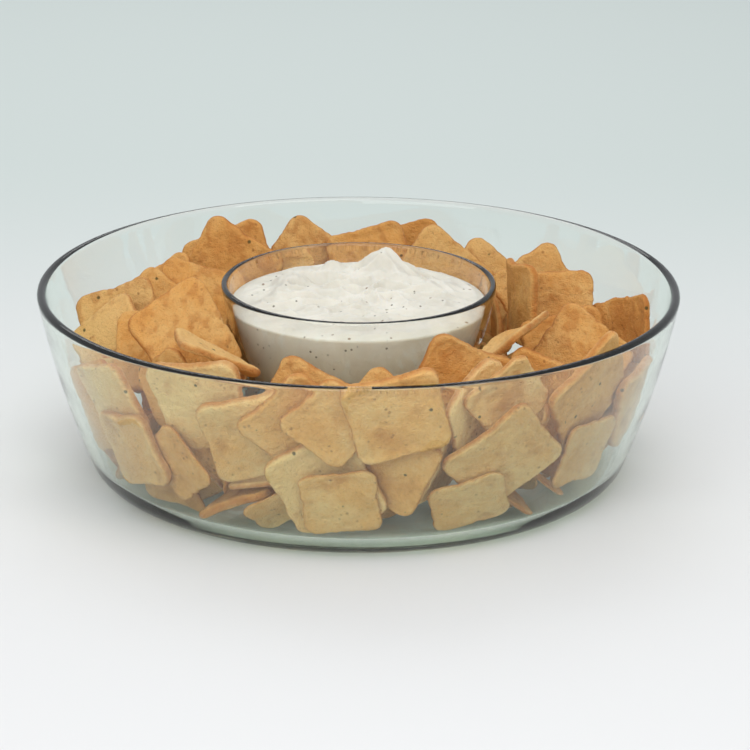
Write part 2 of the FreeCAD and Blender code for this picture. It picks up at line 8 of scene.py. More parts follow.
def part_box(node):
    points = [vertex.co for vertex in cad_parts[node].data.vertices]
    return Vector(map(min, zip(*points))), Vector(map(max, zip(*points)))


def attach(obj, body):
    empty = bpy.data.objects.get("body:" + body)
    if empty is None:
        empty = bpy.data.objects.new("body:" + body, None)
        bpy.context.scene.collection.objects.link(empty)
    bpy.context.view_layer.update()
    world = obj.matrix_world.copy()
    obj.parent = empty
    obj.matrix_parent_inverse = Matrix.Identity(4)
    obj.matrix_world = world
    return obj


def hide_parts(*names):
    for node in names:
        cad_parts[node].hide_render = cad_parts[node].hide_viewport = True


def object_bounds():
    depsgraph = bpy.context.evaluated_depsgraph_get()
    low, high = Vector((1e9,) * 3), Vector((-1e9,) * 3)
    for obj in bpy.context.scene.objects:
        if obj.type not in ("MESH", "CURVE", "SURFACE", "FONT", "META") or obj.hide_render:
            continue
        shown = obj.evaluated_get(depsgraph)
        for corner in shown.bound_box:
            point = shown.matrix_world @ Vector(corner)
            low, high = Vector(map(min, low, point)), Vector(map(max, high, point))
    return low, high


# A glass chip and dip server. Metres, +Z up, the front towards -Y.

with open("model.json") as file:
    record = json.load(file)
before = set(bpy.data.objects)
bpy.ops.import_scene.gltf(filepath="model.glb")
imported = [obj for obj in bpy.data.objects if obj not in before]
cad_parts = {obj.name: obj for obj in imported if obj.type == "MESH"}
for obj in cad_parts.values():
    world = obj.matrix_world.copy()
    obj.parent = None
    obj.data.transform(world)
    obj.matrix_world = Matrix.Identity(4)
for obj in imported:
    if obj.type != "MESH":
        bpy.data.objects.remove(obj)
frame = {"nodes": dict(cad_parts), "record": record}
CAD_BOX = [list(map(float, corner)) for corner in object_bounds()]
NODES = frame["nodes"]
BODIES = {node: body for body, nodes in frame["record"]["behaviour"]["bodies"].items()
          for node in nodes}
MM = 0.001

# each bowl's wall, floor, base radius, heel radius, heel lean, inner heel radius, foot width
# and foot depth, in millimetres and degrees
CHIP_BOWL_SHAPE = (3.8, 5.0, 100.0, 14.0, 22.0, 12.0, 14.0, 0.8)
DIP_BOWL_SHAPE = (2.6, 4.5, 22.0, 11.0, 32.0, 12.0, 5.0, 0.6)
CHIP_BOWL_TURNS = 360
DIP_BOWL_TURNS = 240

# rings and turns of each chip's mesh: those seen alone, those in a group, and a large group
CHIP_MESH_ALONE = (34, 150)
CHIP_MESH_GROUP = (18, 90)
CHIP_MESH_MANY = (12, 60)
MANY_CHIPS = 30

CAMERA_AIM_MM = (7.02, 0.0, 39.56)
CAMERA_DISTANCE = 1.5
CAMERA_ELEVATION = 18.8
CAMERA_ROLL = 0.35
CAMERA_LENS = 171.7


# ---------------------------------------------------------------- small helpers
def link(obj):
    bpy.context.scene.collection.objects.link(obj)
    return obj


def mesh_object(name, verts, faces, smooth=True):
    """A mesh object from an array of points and a list of arrays of equal-sized faces."""
    mesh = bpy.data.meshes.new(name)
    verts = np.asarray(verts, np.float32)
    mesh.vertices.add(len(verts))
    mesh.vertices.foreach_set("co", verts.ravel())
    loops = np.concatenate([np.asarray(part, np.int32).ravel() for part in faces])
    sizes = np.concatenate([np.full(len(part), np.asarray(part).shape[1], np.int32)
                            for part in faces])
    mesh.loops.add(len(loops))
    mesh.loops.foreach_set("vertex_index", loops)
    mesh.polygons.add(len(sizes))
    starts = np.concatenate([[0], np.cumsum(sizes)[:-1]]).astype(np.int32)
    mesh.polygons.foreach_set("loop_start", starts)
    mesh.update(calc_edges=True)
    mesh.validate()
    mesh.polygons.foreach_set("use_smooth", np.full(len(sizes), smooth, bool))
    mesh.update()
    return link(bpy.data.objects.new(name, mesh))


def stand_for(obj, node):
    """Make a piece ride where its CAD node rides, and take that node's place."""
    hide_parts(node)
    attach(obj, BODIES[node])


def float_attribute(obj, name, values):
    layer = obj.data.attributes.new(name, "FLOAT", "POINT")
    layer.data.foreach_set("value", np.asarray(values, np.float32))


# ---------------------------------------------------------------- node helpers
class Graph:
    """A short way to write a material's nodes."""

    def __init__(self, name):
        self.material = bpy.data.materials.new(name)
        self.material.use_nodes = True
        self.tree = self.material.node_tree
        self.tree.nodes.clear()
        self.out = self.tree.nodes.new("ShaderNodeOutputMaterial")

    def add(self, kind, inputs=None, **settings):
        node = self.tree.nodes.new("ShaderNode" + kind)
        for key, value in settings.items():
            setattr(node, key, value)
        for key, value in (inputs or {}).items():
            self.feed(node.inputs[key], value)
        return node

    def feed(self, socket, value):
        if isinstance(value, bpy.types.NodeSocket):
            self.tree.links.new(value, socket)
        else:
            socket.default_value = value

    def math(self, operation, a, b=0.0, c=0.0, clamp=False):
        node = self.tree.nodes.new("ShaderNodeMath")
        node.operation = operation
        node.use_clamp = clamp
        for socket, value in zip(node.inputs, (a, b, c)):
            self.feed(socket, value)
        return node.outputs[0]

    def noise(self, where, scale, detail=4.0, rough=0.55, distortion=0.0):
        node = self.add("TexNoise", {"Vector": where, "Scale": scale, "Detail": detail,
                                     "Roughness": rough, "Distortion": distortion})
        return node.outputs["Fac"]

    def ramp(self, fac, stops, mode="LINEAR"):
        node = self.tree.nodes.new("ShaderNodeValToRGB")
        node.color_ramp.interpolation = mode
        elements = node.color_ramp.elements
        while len(elements) < len(stops):
            elements.new(0.5)
        for element, (place, colour) in zip(elements, stops):
            element.position = place
            element.color = (*colour, 1.0) if len(colour) == 3 else colour
        self.feed(node.inputs["Fac"], fac)
        return node.outputs["Color"]

    def step(self, value, low, high):
        node = self.add("MapRange", {"Value": value, "From Min": low, "From Max": high},
                        interpolation_type="SMOOTHSTEP", clamp=True)
        return node.outputs["Result"]

    def mix(self, fac, a, b, blend="MIX"):
        node = self.tree.nodes.new("ShaderNodeMix")
        node.data_type = "RGBA"
        node.blend_type = blend
        self.feed(node.inputs[0], fac)
        self.feed(node.inputs[6], a)
        self.feed(node.inputs[7], b)
        return node.outputs[2]

    def attribute(self, name):
        return self.add("Attribute", attribute_name=name).outputs["Fac"]

    def surface(self, shader):
        self.tree.links.new(shader, self.out.inputs["Surface"])

    def volume(self, shader):
        self.tree.links.new(shader, self.out.inputs["Volume"])


def srgb(*values):
    """Linear colour from 0-255 sRGB."""
    return tuple(v / 255 / 12.92 if v / 255 <= 0.04045 else ((v / 255 + 0.055) / 1.055) ** 2.4
                 for v in values)


# ---------------------------------------------------------------- materials
def glass_material(name, tint, density, wave, wave_scale):
    g = Graph(name)
    where = g.add("TexCoord").outputs["Object"]
    squeeze = g.add("Mapping", {"Vector": where, "Scale": (1.0, 1.0, 3.5)}).outputs[0]
    ripple = g.noise(squeeze, wave_scale, 2.0, 0.4)
    bump = g.add("Bump", {"Height": ripple, "Strength": 1.0, "Distance": wave})
    body = g.add("BsdfPrincipled", {
        "Base Color": (1.0, 1.0, 1.0, 1.0), "Roughness": 0.0, "IOR": 1.5,
        "Transmission Weight": 1.0, "Normal": bump.outputs[0]})
    lets_by = g.add("BsdfTransparent", {"Color": (0.95, 0.965, 0.95, 1.0)})
    lamp_ray = g.add("LightPath").outputs["Is Shadow Ray"]
    both = g.tree.nodes.new("ShaderNodeMixShader")
    g.feed(both.inputs[0], lamp_ray)
    g.feed(both.inputs[1], body.outputs[0])
    g.feed(both.inputs[2], lets_by.outputs[0])
    g.surface(both.outputs[0])
    g.volume(g.add("VolumeAbsorption", {"Color": (*tint, 1.0), "Density": density}).outputs[0])
    return g.material


def chip_material(name, light, mid, dark, edge):
    g = Graph(name)
    where = g.add("TexCoord").outputs["Object"]
    tone = g.attribute("tone")
    rim = g.attribute("rim")
    relief = g.attribute("relief")
    large = g.noise(where, 55.0, 3.0, 0.5)
    small = g.noise(where, 420.0, 5.0, 0.62)
    grain = g.noise(where, 1500.0, 3.0, 0.6)
    # the base colour wanders between pale crumb and golden crust
    base_mix = g.math("ADD", g.math("MULTIPLY", large, 0.75), g.math("MULTIPLY", small, 0.4))
    base_mix = g.math("ADD", base_mix, g.math("MULTIPLY", tone, 0.20))
    base = g.ramp(base_mix, [(0.40, light), (0.72, mid), (1.05, dark)])
    # raised blisters catch the heat and go browner, hollows stay pale
    raised = g.step(relief, 0.56, 0.86)
    base = g.mix(g.math("MULTIPLY", raised, 0.42), base, (*edge, 1.0))
    # toasted rim, broken up
    rim_noise = g.noise(where, 160.0, 3.0, 0.6)
    rim_mask = g.step(g.math("ADD", rim, g.math("MULTIPLY", rim_noise, 0.55)), 0.86, 1.42)
    base = g.mix(g.math("MULTIPLY", rim_mask, 0.8), base, (*edge, 1.0))
    # toasted freckles
    spots = g.add("TexVoronoi", {"Vector": where, "Scale": 330.0, "Randomness": 1.0},
                  feature="F1")
    gate = g.step(g.noise(where, 120.0, 2.0, 0.5), 0.50, 0.66)
    freckle = g.math("MULTIPLY", g.step(spots.outputs["Distance"], 0.30, 0.10), gate)
    base = g.mix(g.math("MULTIPLY", freckle, 0.55), base, (*srgb(150, 88, 40), 1.0))
    # herb flecks
    herbs = g.add("TexVoronoi", {"Vector": where, "Scale": 210.0, "Randomness": 1.0},
                  feature="F1")
    pick = g.add("SeparateColor", {"Color": herbs.outputs["Color"]})
    chosen = g.step(pick.outputs[0], 0.90, 0.92)
    fleck = g.math("MULTIPLY", g.step(herbs.outputs["Distance"], 0.20, 0.11), chosen)
    base = g.mix(g.math("MULTIPLY", fleck, 0.85), base, (*srgb(74, 72, 34), 1.0))
    # fine crumb: pores darker than the crust between them, painted shade in the pits that the
    # bump lowers
    pore_painted_shade = g.step(grain, 0.44, 0.30)
    base = g.mix(g.math("MULTIPLY", pore_painted_shade, 0.28), base, (*srgb(140, 84, 38), 1.0))
    bump_height = g.math("ADD", g.math("MULTIPLY", small, 0.6), g.math("MULTIPLY", grain, 0.4))
    bump = g.add("Bump", {"Height": bump_height, "Strength": 1.0, "Distance": 0.0019})
    rough = g.math("ADD", 0.66, g.math("MULTIPLY", small, 0.25))
    body = g.add("BsdfPrincipled", {
        "Base Color": base, "Roughness": rough, "Specular IOR Level": 0.35,
        "Subsurface Weight": 0.06, "Subsurface Radius": (0.004, 0.002, 0.001),
        "Subsurface Scale": 1.0, "Normal": bump.outputs[0]})
    g.surface(body.outputs[0])
    return g.material


def dip_material():
    g = Graph("creamy_dip")
    where = g.add("TexCoord").outputs["Object"]
    painted_warm_shade = g.attribute("painted_warm_shade")
    large = g.noise(where, 70.0, 3.0, 0.5)
    base = g.ramp(large, [(0.3, srgb(212, 207, 193)), (0.7, srgb(231, 227, 215))])
    # the sides against the glass go a darker, warmer beige: painted shade and painted warm light
    # reflected from the chips
    base = g.mix(g.math("MULTIPLY", painted_warm_shade, 0.85), base, (*srgb(214, 196, 168), 1.0))
    for scale, keep, size, colour in ((300.0, 0.93, 0.16, srgb(118, 84, 48)),
                                      (430.0, 0.90, 0.17, srgb(70, 62, 42)),
                                      (170.0, 0.94, 0.10, srgb(92, 88, 44))):
        dots = g.add("TexVoronoi", {"Vector": where, "Scale": scale, "Randomness": 1.0},
                     feature="F1")
        pick = g.add("SeparateColor", {"Color": dots.outputs["Color"]})
        chosen = g.step(pick.outputs[0], keep, keep + 0.01)
        fleck = g.math("MULTIPLY", g.step(dots.outputs["Distance"], size + 0.08, size), chosen)
        base = g.mix(g.math("MULTIPLY", fleck, 0.75), base, (*colour, 1.0))
    fine = g.noise(where, 420.0, 4.0, 0.55)
    bump = g.add("Bump", {"Height": fine, "Strength": 0.45, "Distance": 0.0006})
    rough = g.math("ADD", 0.36, g.math("MULTIPLY", large, 0.22))
    body = g.add("BsdfPrincipled", {
        "Base Color": base, "Roughness": rough, "Specular IOR Level": 0.5,
        "Subsurface Weight": 0.35, "Subsurface Radius": (0.006, 0.005, 0.004),
        "Subsurface Scale": 0.6, "Normal": bump.outputs[0]})
    g.surface(body.outputs[0])
    return g.material


# ---------------------------------------------------------------- glass bowls
def arc_points(centre, start, end, count):
    """Points along the shorter arc about a centre, both ends included."""
    first = math.atan2(start[1] - centre[1], start[0] - centre[0])
    last = math.atan2(end[1] - centre[1], end[0] - centre[0])
    turn = (last - first + math.pi) % (2 * math.pi) - math.pi
    radius = math.hypot(start[0] - centre[0], start[1] - centre[1])
    return [(centre[0] + radius * math.cos(first + turn * i / count),
             centre[1] + radius * math.sin(first + turn * i / count))
            for i in range(count + 1)]


def vessel_profile(rim_radius, height, wall, floor, base, heel, lean, inner_heel, foot_width,
                   foot_depth):
    """The bowl's outline from the axis up the inside, over the lip and down to the foot, mm."""
    lean = math.radians(lean)
    normal = (math.cos(lean), -math.sin(lean))
    heel_centre = (base, heel)
    heel_end = (base + heel * normal[0], heel + heel * normal[1])
    lip = (rim_radius - wall / 2, height - wall / 2)
    rim_lean = 0.0
    for _ in range(30):
        rim_normal = (math.cos(rim_lean), -math.sin(rim_lean))
        chord = (lip[0] + rim_normal[0] * wall / 2 - heel_end[0],
                 lip[1] + rim_normal[1] * wall / 2 - heel_end[1])
        chord_lean = math.atan2(chord[0], chord[1])
        rim_lean = 2 * chord_lean - lean
    radius = math.hypot(*chord) / (2 * math.sin(lean - chord_lean))
    centre = (heel_end[0] - normal[0] * radius, heel_end[1] - normal[1] * radius)
    inner = radius - wall
    rise = floor + inner_heel - centre[1]
    run = math.sqrt((inner - inner_heel) ** 2 - rise ** 2)
    inner_centre = (centre[0] + run, floor + inner_heel)
    toward = (inner_centre[0] - centre[0], inner_centre[1] - centre[1])
    length = math.hypot(*toward)
    inner_end = (inner_centre[0] + toward[0] / length * inner_heel,
                 inner_centre[1] + toward[1] / length * inner_heel)
    lip_in = (lip[0] - rim_normal[0] * wall / 2, lip[1] - rim_normal[1] * wall / 2)
    lip_out = (lip[0] + rim_normal[0] * wall / 2, lip[1] + rim_normal[1] * wall / 2)
    points = [(inner_centre[0] * share, floor) for share in (0.0, 0.3, 0.6, 0.85, 0.97)]
    points += arc_points(inner_centre, (inner_centre[0], floor), inner_end, 12)
    points += arc_points(centre, inner_end, lip_in, 40)[1:]
    steps = 14
    start = math.atan2(lip_in[1] - lip[1], lip_in[0] - lip[0])
    for i in range(1, steps + 1):
        turn = start - math.pi * i / steps
        points.append((lip[0] + wall / 2 * math.cos(turn), lip[1] + wall / 2 * math.sin(turn)))
    points += arc_points(centre, lip_out, heel_end, 40)[1:]
    points += arc_points(heel_centre, heel_end, (base, 0.0), 12)[1:]
    foot = base - foot_width
    points += [(base - foot_width * share, 0.0) for share in (0.1, 0.5, 0.9)]
    points += arc_points((foot, -2.0), (foot + 0.2, 0.0), (foot - 0.2, 0.0), 2)[1:2]
    points += [(foot - foot_depth, foot_depth * 0.55), (foot - 2 * foot_depth, foot_depth)]
    points += [(foot * share, foot_depth) for share in (0.9, 0.6, 0.3, 0.0)]
    return points


def lathe(name, profile, turns):
    """A closed surface of revolution. Its profile starts and ends on the axis."""
    ring = profile[1:-1]
    angles = np.arange(turns) * 2 * np.pi / turns
    radii = np.array([r for r, _ in ring])
    heights = np.array([z for _, z in ring])
    x = np.outer(radii, np.cos(angles))
    y = np.outer(radii, np.sin(angles))
    z = np.outer(heights, np.ones(turns))
    verts = np.stack([x, y, z], axis=-1).reshape(-1, 3)
    verts = np.vstack([verts, [[0, 0, profile[0][1]], [0, 0, profile[-1][1]]]]) * MM
    count = len(ring)
    i = np.arange(count - 1)[:, None]
    j = np.arange(turns)[None, :]
    k = (j + 1) % turns
    quads = np.stack([i * turns + j, i * turns + k, (i + 1) * turns + k,
                      (i + 1) * turns + j], axis=-1).reshape(-1, 4)
    j = np.arange(turns)
    k = (j + 1) % turns
    first = np.stack([np.full(turns, count * turns), k, j], axis=-1)
    last_row = (count - 1) * turns
    last = np.stack([np.full(turns, count * turns + 1), last_row + j, last_row + k], axis=-1)
    obj = mesh_object(name, verts, [quads[:, ::-1], first[:, ::-1], last[:, ::-1]])
    return obj


def make_glass():
    low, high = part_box("chip_bowl")
    rim = (high[0] - low[0]) / 2 / MM
    height = (high[2] - low[2]) / MM
    profile = vessel_profile(rim, height, *CHIP_BOWL_SHAPE)
    bowl = lathe("clear_chip_bowl", profile, CHIP_BOWL_TURNS)
    bowl.data.materials.append(glass_material("bowl_glass_clear", srgb(172, 226, 178), 22.0,
                                              0.00010, 26.0))
    stand_for(bowl, "chip_bowl")
    low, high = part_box("dip_bowl")
    rim = (high[0] - low[0]) / 2 / MM
    height = (high[2] - low[2]) / MM
    profile = vessel_profile(rim, height, *DIP_BOWL_SHAPE)
    profile = [(r, z + low[2] / MM) for r, z in profile]
    bowl = lathe("clear_dip_bowl", profile, DIP_BOWL_TURNS)
    bowl.data.materials.append(glass_material("dip_glass_clear", srgb(190, 228, 194), 14.0,
                                              0.00006, 34.0))
    stand_for(bowl, "dip_bowl")


# ---------------------------------------------------------------- dip
def make_dip():
    """The dip: its CAD outline below, and a spooned, swirled top."""
    node = NODES["dip"]
    co = np.empty(len(node.data.vertices) * 3, np.float32)
    node.data.vertices.foreach_get("co", co)
    co = co.reshape(-1, 3)
    radius = np.hypot(co[:, 0], co[:, 1])
    top_radius = radius.max()
    shore = co[radius > top_radius - 1e-5][:, 2].mean()
    heights = np.linspace(co[:, 2].min(), shore, 60)
    # the outline's radius at each height, from the model's own vertices
    order = np.argsort(co[:, 2])
    zs, rs = co[order, 2], radius[order]
    keep_z, keep_r = [], []
    for z in np.unique(np.round(zs, 5)):
        near = np.abs(zs - z) < 2e-5
        if z <= shore + 1e-5:
            keep_z.append(z)
            keep_r.append(rs[near].max())
    outline_r = np.interp(heights, keep_z, keep_r)
    turns, rings = 300, 110
    angles = np.arange(turns) * 2 * np.pi / turns
    verts = []
    painted_warm_shade = []
    for share in (0.0, 0.35, 0.7):
        for a in angles if share else [0.0]:
            verts.append((outline_r[0] * share * math.cos(a), outline_r[0] * share * math.sin(a),
                          heights[0]))
            painted_warm_shade.append(1.0)
    # the sides below the top take more of the darker, warmer beige the deeper they go: painted
    # shade and painted reflected chip colour
    for z, r in zip(heights, outline_r):
        fade = min(1.0, max(0.0, (shore - z) / 0.022))
        for a in angles:
            verts.append((r * math.cos(a), r * math.sin(a), z))
            painted_warm_shade.append(0.15 + 0.85 * fade)
    for step in range(1, rings):
        share = 1 - step / rings
        for a in angles:
            x, y = top_radius * share * math.cos(a), top_radius * share * math.sin(a)
            rise = dip_relief(x, y, top_radius)
            edge = min(1.0, (1 - share) / 0.07)
            verts.append((x, y, shore + rise * edge))
            painted_warm_shade.append(0.0)
    verts.append((0.0, 0.0, shore + dip_relief(0.0, 0.0, top_radius)))
    painted_warm_shade.append(0.0)
    total_rows = 2 + len(heights) + rings - 1
    row = lambda i: 1 + i * turns
    quads = []
    for i in range(total_rows - 1):
        a, b = row(i), row(i + 1)
        for j in range(turns):
            k = (j + 1) % turns
            quads.append((a + j, a + k, b + k, b + j))
    tris = [(0, row(0) + (j + 1) % turns, row(0) + j) for j in range(turns)]
    last = row(total_rows - 1)
    tris += [(len(verts) - 1, last + j, last + (j + 1) % turns) for j in range(turns)]
    obj = mesh_object("spooned_dip", verts, [np.array(quads), np.array(tris)])
    float_attribute(obj, "painted_warm_shade", painted_warm_shade)
    obj.data.materials.append(dip_material())
    stand_for(obj, "dip")


# each lump is (x, y, height, length, width, turn) in millimetres and degrees
DIP_LUMPS = (
    (9.0, 24.0, 11.0, 11.0, 8.0, 20), (-12.0, 20.0, 7.5, 9.0, 6.5, -30),
    (-27.0, 14.0, 5.5, 10.0, 7.0, 40), (-2.0, 8.0, 3.5, 16.0, 9.0, 10),
    (22.0, 12.0, 4.5, 14.0, 7.0, -35), (-20.0, -4.0, 3.0, 14.0, 8.0, 25),
    (12.0, -8.0, 3.5, 18.0, 7.0, -20), (30.0, -2.0, 3.0, 10.0, 6.0, -60),
    (-6.0, -20.0, 2.0, 16.0, 7.0, 5), (20.0, 26.0, 3.5, 10.0, 7.0, 15),
    (-34.0, 2.0, 3.0, 8.0, 8.0, 0), (36.0, 14.0, 2.0, 8.0, 6.0, 60),
)


def dip_relief(x, y, reach):
    """How far the dip's top stands above the line where it meets the glass, in metres."""
    px, py = x / MM, y / MM
    swirl = noise.noise(Vector((px * 0.035, py * 0.035, 3.1))) * 5.0
    wx = px + swirl + 2.0 * noise.noise(Vector((px * 0.09, py * 0.09, 7.7)))
    wy = py + 4.0 * noise.noise(Vector((px * 0.04, py * 0.04, 9.3)))
    total = 0.0
    for cx, cy, height, length, width, turn in DIP_LUMPS:
        a = math.radians(turn)
        u = (wx - cx) * math.cos(a) + (wy - cy) * math.sin(a)
        v = -(wx - cx) * math.sin(a) + (wy - cy) * math.cos(a)
        total += height * math.exp(-(u / length) ** 2 - (v / width) ** 2)
    ridge = noise.noise(Vector((wx * 0.085, wy * 0.16, 1.7)))
    total += 2.2 * (1 - abs(ridge) * 2.4)
    total += 0.9 * noise.noise(Vector((wx * 0.22, wy * 0.26, 5.0)))
    total += 0.35 * noise.noise(Vector((px * 0.6, py * 0.6, 2.0)))
    total += 0.12 * noise.noise(Vector((px * 1.5, py * 1.5, 4.0)))
    share = math.hypot(x, y) / reach
    return (total * (1 - share ** 4) + 1.2) * MM


# ---------------------------------------------------------------- chips
def loose_parts(mesh):
    """The mesh's separate solids, each as (points, triangles)."""
    co = np.empty(len(mesh.vertices) * 3, np.float32)
    mesh.vertices.foreach_get("co", co)
    co = co.reshape(-1, 3).astype(float)
    mesh.calc_loop_triangles()
    tri = np.empty(len(mesh.loop_triangles) * 3, np.int32)
    mesh.loop_triangles.foreach_get("vertices", tri)
    tri = tri.reshape(-1, 3)
    _, same = np.unique(np.round(co, 7), axis=0, return_inverse=True)
    same = same.reshape(-1)
    label = np.arange(same.max() + 1)
    joined = same[tri]
    while True:
        low = label[joined].min(axis=1)
        new = label.copy()
        for column in range(3):
            np.minimum.at(new, joined[:, column], low)
        new = new[new]
        if (new == label).all():
            break
        label = new
    owner = label[same]
    parts = []
    for which in np.unique(owner[tri[:, 0]]):
        mine = tri[owner[tri[:, 0]] == which]
        used, index = np.unique(mine, return_inverse=True)
        parts.append((co[used], index.reshape(-1, 3)))
    parts.sort(key=lambda part: tuple(np.round(part[0].mean(axis=0), 4)))
    return parts


def hull_2d(points):
    """The convex hull of points in a plane, counter-clockwise."""
    pts = sorted(map(tuple, np.round(points, 8)))
    halves = []
    for run in (pts, pts[::-1]):
        chain = []
        for p in run:
            while len(chain) > 1 and ((chain[-1][0] - chain[-2][0]) * (p[1] - chain[-2][1])
                                      - (chain[-1][1] - chain[-2][1])
                                      * (p[0] - chain[-2][0])) <= 0:
                chain.pop()
            chain.append(p)
        halves.append(chain[:-1])
    return np.array(halves[0] + halves[1])


def fbm(points, scale, octaves, seed):
    """Smooth noise at many points, in about -1 to 1."""
    result = np.zeros(len(points))
    total = 0.0
    for octave in range(octaves):
        weight = 0.55 ** octave
        step = scale * 2.0 ** octave
        offset = Vector((seed * 1.7 + octave * 3.1, seed * 0.9 - octave, seed * 0.3))
        result += weight * np.array([noise.noise(Vector(p) * step + offset) for p in points])
        total += weight
    return result / total * 1.6


def chip_patch(points, triangles, rings, turns, seed, random):
    """A bubbled, toasted chip as fine mesh arrays, made from one plain CAD chip."""
    a, b, c = points[triangles[:, 0]], points[triangles[:, 1]], points[triangles[:, 2]]
    cross = np.cross(b - a, c - a)
    area = np.linalg.norm(cross, axis=1) / 2
    middle = (a + b + c) / 3
    centre = (middle * area[:, None]).sum(axis=0) / area.sum()
    spread = ((middle - centre) * area[:, None]).T @ (middle - centre)
    axes = np.linalg.eigh(spread)[1]
    normal = axes[:, 0]
    if normal[2] < 0:
        normal = -normal
    across = axes[:, 2]
    along = np.cross(normal, across)
    basis = np.stack([across, along, normal])
    local = (points - centre) @ basis.T
    mid_local = (middle - centre) @ basis.T
    # the middle surface: both faces fitted together by one smooth polynomial
    unit = np.abs(mid_local[:, :2]).max()

    def terms(uv):
        u, v = uv[:, 0] / unit, uv[:, 1] / unit
        return np.stack([np.ones_like(u), u, v, u * u, u * v, v * v, u ** 3, u * u * v,
                         u * v * v, v ** 3, u ** 4, u ** 3 * v, u * u * v * v, u * v ** 3,
                         v ** 4], axis=1)

    facing = np.abs((cross @ normal) / np.maximum(np.linalg.norm(cross, axis=1), 1e-12)) > 0.6
    # each face is fitted alone and the two fits are averaged
    sign = (cross @ normal) > 0
    coefficients = []
    for side in (True, False):
        pick = facing & (sign == side)
        corners = triangles[pick]
        sample = local[corners].reshape(-1, 3)
        sample = np.vstack([sample, local[corners].mean(axis=1)])
        coefficients.append(np.linalg.lstsq(terms(sample[:, :2]), sample[:, 2], rcond=1e-6)[0])
    coefficient = (coefficients[0] + coefficients[1]) / 2
    thick = float(coefficients[0][0] - coefficients[1][0])
    hull = hull_2d(local[:, :2])
    heart = hull.mean(axis=0)
    angles = np.arange(turns) * 2 * np.pi / turns
    directions = np.stack([np.cos(angles), np.sin(angles)], axis=1)
    edge_from, edge_to = hull, np.roll(hull, -1, axis=0)
    way = edge_to - edge_from
    outward = np.stack([way[:, 1], -way[:, 0]], axis=1)
    outward /= np.linalg.norm(outward, axis=1)[:, None]
    limit = ((edge_from - heart) * outward).sum(axis=1)
    dot = directions @ outward.T
    reach = np.where(dot > 1e-6, limit[None, :] / np.maximum(dot, 1e-6), 1e9).min(axis=1)
    wobble = fbm(np.stack([np.cos(angles) * 2.2, np.sin(angles) * 2.2, angles * 0], axis=1),
                 1.6, 3, seed)
    # the sides draw in between the corners, which stay
    sideness = 1 - (reach - reach.min()) / max(reach.max() - reach.min(), 1e-6)
    nibble = fbm(np.stack([np.cos(angles) * 9, np.sin(angles) * 9, angles * 0], axis=1),
                 1.0, 2, seed + 3)
    reach = (reach - 0.0002 - 0.00035 * (wobble + 0.5).clip(0)
             - 0.0010 * sideness * (0.8 + 0.5 * wobble).clip(0) - 0.00018 * (nibble + 0.3))
    # rings crowd towards the rim, where the sheet rounds over
    share = 1 - (1 - np.linspace(0, 1, rings + 1)[1:]) ** 1.7
    u = heart[0] + np.outer(share, reach * np.cos(angles))
    v = heart[1] + np.outer(share, reach * np.sin(angles))
    flat = np.stack([u.ravel(), v.ravel()], axis=1)
    flat = np.vstack([[heart], flat])
    inset = np.concatenate([[1.0], np.outer(1 - share, reach).ravel()])
    inset[0] = reach.mean()
    middle_height = terms(flat) @ coefficient
    place = flat / MM
    lump = fbm(np.column_stack([place, np.full(len(place), seed * 5.0)]), 0.075, 2, seed)
    blister = fbm(np.column_stack([place, np.full(len(place), seed * 3.0)]), 0.21, 3, seed + 9)
    crease = 1 - np.abs(fbm(np.column_stack([place * (1.0, 0.45),
                                             np.full(len(place), seed)]), 0.16, 2,
                            seed + 21)) * 2.2
    crumb = fbm(np.column_stack([place, np.full(len(place), seed * 2.0)]), 0.5, 2, seed + 31)
    strong = 0.5 + 0.6 * random.random()
    ridged = random.random() < 0.45
    curl = random.random() * 2 - 1
    curl_turn = random.random() * math.pi
    relief_top = 0.5 + 0.5 * np.clip(blister * 0.9 + (crease * 0.5 if ridged else 0), -1, 1)
    relief_low = 0.5 + 0.5 * np.clip(-blister * 0.5 + lump * 0.6, -1, 1)
    # half thickness: full inside, a swollen toasted rim, then rounded over at the edge
    half = thick / 2
    round_over = 1.25 * MM
    t = np.clip(inset / round_over, 0, 1)
    profile = np.sqrt(1 - (1 - t) ** 2)
    swell = np.exp(-((inset - 1.9 * MM) / (1.5 * MM)) ** 2)
    body = half * (0.72 + 0.12 * swell)
    fade = np.clip((inset - 0.3 * MM) / (2.5 * MM), 0, 1)
    rise = flat @ (math.cos(curl_turn), math.sin(curl_turn)) / unit
    wave = (0.9 * lump * fade + 0.9 * curl * (rise ** 2 - 0.25)) * MM
    top = body * profile + fade * MM * (0.40 * strong * np.clip(blister, -0.9, 1)
                                        + 0.16 * crumb
                                        + (0.28 * np.clip(crease, -0.4, 1) if ridged else 0))
    low = body * profile + fade * MM * (0.34 * strong * np.clip(relief_low * 2 - 1, -0.9, 1)
                                        - 0.16 * crumb)
    top = np.clip(top, 0.15 * MM * profile, half + 0.25 * MM)
    low = np.clip(low, 0.15 * MM * profile, half + 0.20 * MM)
    count = len(flat)
    top_points = np.column_stack([flat, middle_height + wave + top])
    low_points = np.column_stack([flat, middle_height + wave - low])
